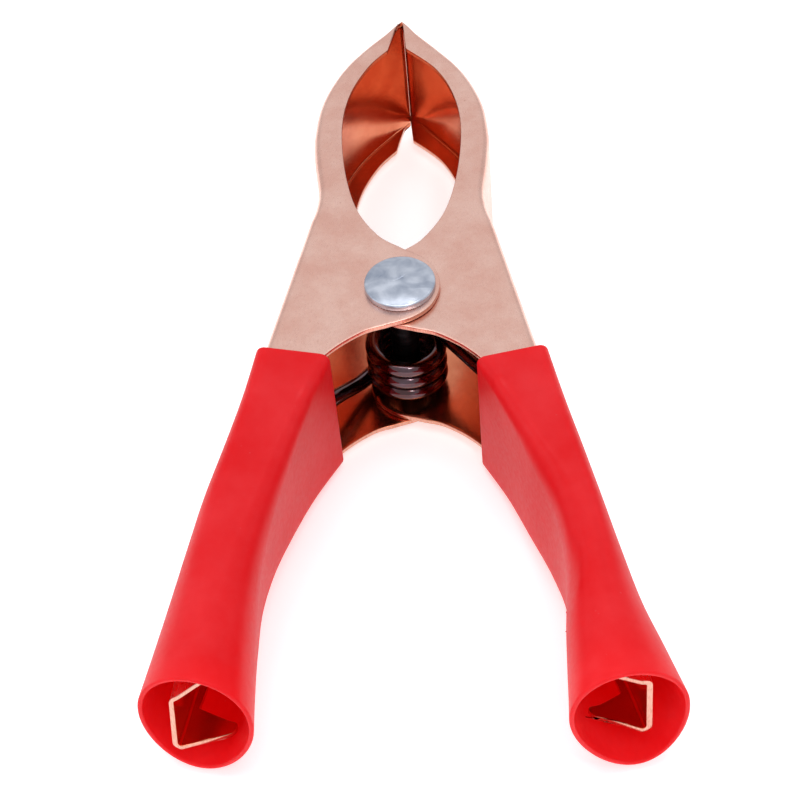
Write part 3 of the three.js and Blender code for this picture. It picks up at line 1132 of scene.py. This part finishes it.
def shell_faces(rows: int, columns: int, wrap: bool) -> tuple[list[tuple[int, ...]], list[tuple[int, ...]]]:
    """Lists the faces of a closed shell whose outer grid's points come first and whose inner grid's follow.

    Args:
        rows: Points one way in each grid.
        columns: Points the other way.
        wrap: Whether the last column joins the first, as in a tube.

    Returns:
        The two grids' faces, and the rims' faces.
    """
    count = rows * columns
    walls = grid_faces(rows, columns, 0, wrap)
    walls += [face[::-1] for face in grid_faces(rows, columns, count, wrap)]
    rims = []
    for i in (0, rows - 1):
        for j in range(columns if wrap else columns - 1):
            a, b = i * columns + j, i * columns + (j + 1) % columns
            face = (a, a + count, b + count, b)
            rims.append(face if i == 0 else face[::-1])
    for j in () if wrap else (0, columns - 1):
        for i in range(rows - 1):
            a, b = i * columns + j, (i + 1) * columns + j
            face = (b, b + count, a + count, a)
            rims.append(face if j == 0 else face[::-1])
    return walls, rims


def turned_outward(points: np.ndarray, faces: list[tuple[int, ...]]) -> list[tuple[int, ...]]:
    """Turns a closed mesh's faces over if they point inward.

    Args:
        points: The mesh's points.
        faces: Its faces, all wound the same way.

    Returns:
        The faces, pointing outward.
    """
    volume = 0.0
    for face in faces:
        a = points[face[0]]
        for j, k in zip(face[1:-1], face[2:]):
            volume += float(np.dot(a, np.cross(points[j], points[k])))
    return faces if volume > 0 else [face[::-1] for face in faces]


def cut_hole(piece: bpy.types.Object, radius: float, middle: float) -> None:
    """Cuts a round hole along the pivot's axis through a piece.

    Args:
        piece: The object to cut.
        radius: The hole's radius in millimetres.
        middle: Height of the middle plane over the floor, in millimetres.
    """
    count, reach = 64, 30.0
    angles = np.arange(count) * 2 * math.pi / count
    ring = np.column_stack([radius * np.cos(angles), radius * np.sin(angles)])
    points = np.vstack([np.column_stack([ring, np.full(count, z)]) for z in (-reach, reach)])
    faces = grid_faces(2, count, wrap=True) + [tuple(range(count))[::-1], tuple(range(count, 2 * count))]
    tool = new_piece("hole_cutter", points, turned_outward(points, faces), middle, [])
    hole = piece.modifiers.new("rivet hole", "BOOLEAN")
    hole.operation, hole.solver, hole.object = "DIFFERENCE", "EXACT", tool
    apply_modifiers(piece)
    bpy.data.objects.remove(tool)


# ---- Studio -------------------------------------------------------------------------------------------


@dataclass(frozen=True)
class SoftLamp:
    """A square softbox that points at the clamp."""

    name: str
    place: tuple[float, float, float]  # metres
    size: float  # metres
    power: float  # watts
    tint: str = "#ffffff"

    def build(self, target: Vector) -> None:
        """Hangs the lamp and turns it to the target."""
        data = bpy.data.lights.new(self.name, "AREA")
        data.size, data.energy, data.color = self.size, self.power, linear(self.tint)[:3]
        lamp = bpy.data.objects.new(self.name, data)
        bpy.context.scene.collection.objects.link(lamp)
        lamp.location = self.place
        lamp.rotation_euler = (Vector(self.place) - target).to_track_quat("Z", "Y").to_euler()


@dataclass(frozen=True)
class Studio:
    """A white sheet, an even white tent round it, softboxes and the camera."""

    eye: tuple[float, float, float] = (11.105, -154.593, 163.405)  # millimetres from the pivot's middle
    yaw: float = -0.080
    pitch: float = 0.842
    roll: float = -0.101
    lens: float = 89.0
    sensor: float = 36.0
    sheet_half: float = 1.5  # metres
    sheet_drop: float = 0.02  # millimetres under the clamp
    tent_tint: str = "#f4f5f8"
    tent_strength: float = 0.75
    lamps: tuple[SoftLamp, ...] = (
        SoftLamp("overhead_softbox", (0.0, -0.02, 0.6), 0.4, 1.2),
        SoftLamp("left_softbox", (-0.55, -0.1, 0.35), 0.35, 0.4),
        SoftLamp("rear_softbox", (0.0, 0.5, 0.5), 0.6, 0.12),
        SoftLamp("sparkle_lamp", (0.12, -0.28, 0.5), 0.06, 0.25),
    )

    def hang_camera(self, middle: float) -> None:
        """Places the camera at the viewing angle.

        Args:
            middle: Height of the clamp's middle plane over the floor, in millimetres.
        """
        level = math.cos(self.pitch)
        forward = Vector((math.sin(self.yaw) * level, math.cos(self.yaw) * level, -math.sin(self.pitch)))
        right = Vector((math.cos(self.yaw), -math.sin(self.yaw), 0))
        up = right.cross(forward)
        tilted = math.cos(self.roll) * right + math.sin(self.roll) * up
        upright = math.cos(self.roll) * up - math.sin(self.roll) * right
        data = bpy.data.cameras.new("camera")
        data.lens, data.sensor_width, data.clip_start, data.clip_end = self.lens, self.sensor, 0.01, 10
        camera = bpy.data.objects.new("camera", data)
        bpy.context.scene.collection.objects.link(camera)
        turn = Matrix((tilted, upright, -forward)).transposed().to_4x4()
        camera.matrix_world = Matrix.Translation((Vector(self.eye) + Vector((0, 0, middle))) * MM) @ turn
        bpy.context.scene.camera = camera

    def lay_sheet(self) -> None:
        """Lays the white sheet under the clamp."""
        half = self.sheet_half / MM
        points = np.array([(-half, -half, 0), (half, -half, 0), (half, half, 0), (-half, half, 0)])
        sheet = new_piece("white_sheet", points, [(0, 1, 2, 3)], -self.sheet_drop, [LitOpalAcrylic().make()])

    def light(self, middle: float) -> None:
        """Lights the tent and the softboxes.

        Args:
            middle: Height of the clamp's middle plane over the floor, in millimetres.
        """
        scene = bpy.context.scene
        scene.world = bpy.data.worlds.new("white_tent")
        scene.world.use_nodes = True
        tree = scene.world.node_tree
        tree.nodes.clear()
        glow = add_node(tree, "ShaderNodeBackground", {
            "Color": linear(self.tent_tint), "Strength": self.tent_strength,
        })
        add_node(tree, "ShaderNodeOutputWorld", {"Surface": glow.outputs["Background"]})
        for lamp in self.lamps:
            lamp.build(Vector((0, 0, middle * MM)))
        scene.view_settings.view_transform = "Standard"


# ---- Assembly -----------------------------------------------------------------------------------------


@dataclass(frozen=True)
class ClampLayout:
    """Where the clamp's sub-assemblies lie, in millimetres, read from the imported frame."""

    middle: float  # height of the middle plane over the floor

    @classmethod
    def from_frame(cls) -> "ClampLayout":
        """Reads the layout from the outer lever's box, which the middle plane halves."""
        low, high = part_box("left_jaw_lever")
        return cls(middle=(low.z + high.z) / 2 / MM)

    def box(self, node: str) -> tuple[np.ndarray, np.ndarray]:
        """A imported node's lowest and highest corners in millimetres, with z from the middle plane."""
        low, high = (np.array(corner) / MM - (0, 0, self.middle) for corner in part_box(node))
        return low, high


@dataclass
class SpringClamp:
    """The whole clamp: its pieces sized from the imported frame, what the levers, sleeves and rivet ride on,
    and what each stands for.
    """

    layout: ClampLayout
    finish: dict[str, bpy.types.Material]
    head_play: float = 0.03  # millimetres between a rivet head and the cheek under it

    def lever(self, side: Side) -> PressedLever:
        """The lever on a side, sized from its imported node."""
        low, high = self.layout.box(f"{side.word}_jaw_lever")
        left = side is Side.LEFT
        return PressedLever(
            side=side, half=float(high[2]), tip_y=float(high[1]), end_y=float(low[1]),
            nose_tip=(0.6, 46.7) if left else (0.02, 47.6),
            nose_corner=(1.75, 41.6) if left else (0.45, 42.7),
            ear_reach=6.1 if left else 5.2, ear_flare=(2.2, 0.3) if left else (-0.2, -0.9),
            end_shift=(1.4, 0.4) if left else (-0.3, -0.5), tip_x=-0.05 if left else 0.02,
        )

    def rivet(self) -> PivotRivet:
        """The rivet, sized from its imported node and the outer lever's."""
        low, high = self.layout.box("pivot_rivet")
        grip = float(self.layout.box("left_jaw_lever")[1][2]) + self.head_play
        return PivotRivet(
            grip=grip, head_radius=float(high[0]),
            head_height=float(high[2]) - grip, clinch_height=-float(low[2]) - grip,
        )

    def sleeve(self, side: Side) -> GripSleeve:
        """The sleeve on a side, with the sections that the lever inside stretches it to."""
        if side is Side.LEFT:
            return GripSleeve(side, top_run=24.6, shape=SleeveShape(
                web=(-0.75, -0.8, -1.25, -1.8, -2.05, -2.25, -2.4, -2.45),
                front=(7.5, 6.7, 6.3, 6.1, 6.35, 7.45, 9.0, 10.7),
                rear=(7.5, 5.9, 5.0, 4.55, 4.95, 6.2, 7.2, 7.95),
                high=(9.25, 8.9, 8.5, 8.05, 7.8, 7.85, 8.05, 8.15),
                lump=(29.5, 6.1),
            ))
        return GripSleeve(side, top_run=26.0, shape=SleeveShape(
            web=(-0.75, -0.9, -1.25, -1.55, -1.85, -2.3, -3.15, -3.8),
            front=(7.1, 5.7, 4.4, 3.4, 4.05, 6.0, 7.8, 10.0),
            rear=(7.1, 5.7, 4.95, 4.25, 4.1, 5.35, 6.1, 5.9),
            high=(9.2, 8.8, 8.3, 7.75, 7.5, 7.7, 8.05, 8.3),
            lump=(29.4, 5.5), crease=((37.9, 4.2), (43.5, 2.6), (48.2, 2.3), (53.4, 3.9), (57.6, 5.7)),
        ))

    def spring(self) -> TorsionSpring:
        """The spring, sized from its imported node."""
        low, high = self.layout.box("torsion_spring")
        return TorsionSpring(outer_radius=float(high[1]), low=float(low[2]), high=float(high[2]))

    def build(self) -> None:
        """Builds every piece, fixes each but the spring to its body, and hides and logs the node each stands
        for.
        """
        bodies = {Side.LEFT: "outer_lever", Side.RIGHT: "inner_lever"}
        for side, body in bodies.items():
            self.place(self.lever(side), body, f"{side.word}_jaw_lever", "copper_plate")
            self.place(self.sleeve(side), body, f"{side.word}_grip_sleeve", "red_vinyl")
        self.place(self.rivet(), "outer_lever", "pivot_rivet", "rivet_steel")
        spring = self.spring()
        wire = spring.build(self.layout, self.finish)
        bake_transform(wire)
        self.declare(wire, "torsion_spring")

    def place(self, maker: Any, body: str, node: str, slot: str) -> None:
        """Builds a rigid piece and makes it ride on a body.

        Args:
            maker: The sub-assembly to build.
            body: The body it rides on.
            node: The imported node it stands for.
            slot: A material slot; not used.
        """
        piece = maker.build(self.layout, self.finish)
        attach(piece, body)
        self.declare(piece, node)

    def declare(self, piece: bpy.types.Object, node: str) -> None:
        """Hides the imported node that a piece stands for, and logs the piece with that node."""
        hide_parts(node)
        LOG.info("%s: %d faces, stands for %s", piece.name, len(piece.data.polygons), node)


def main() -> None:
    logging.basicConfig(level=logging.INFO, format="%(message)s")
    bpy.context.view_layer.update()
    layout = ClampLayout.from_frame()
    studio = Studio()
    studio.hang_camera(layout.middle)
    studio.lay_sheet()
    studio.light(layout.middle)
    # The inner faces get a darker, deeper orange copy of the copper: painted shade and painted reflected glow
    # for the inside of the channel.
    inside = CopperPlatedSteel(
        name="painted_glow_and_shade_copper", bright="#ea9672", worn="#dd7e5a", tarnish="#a84c32",
        pitted=0.0, smoothest=0.18, roughest=0.24, relief=0.05,
    )
    kinds = (
        CopperPlatedSteel(), inside, ShearedCopperEdge(), ZincPlatedRivetSteel(), ShadedShankSteel(),
        LacqueredSpringWire(), SoftRedVinyl(),
    )
    finish = {kind.name: kind.make() for kind in kinds}
    SpringClamp(layout, finish).build()


if __name__ == "__main__":
    main()
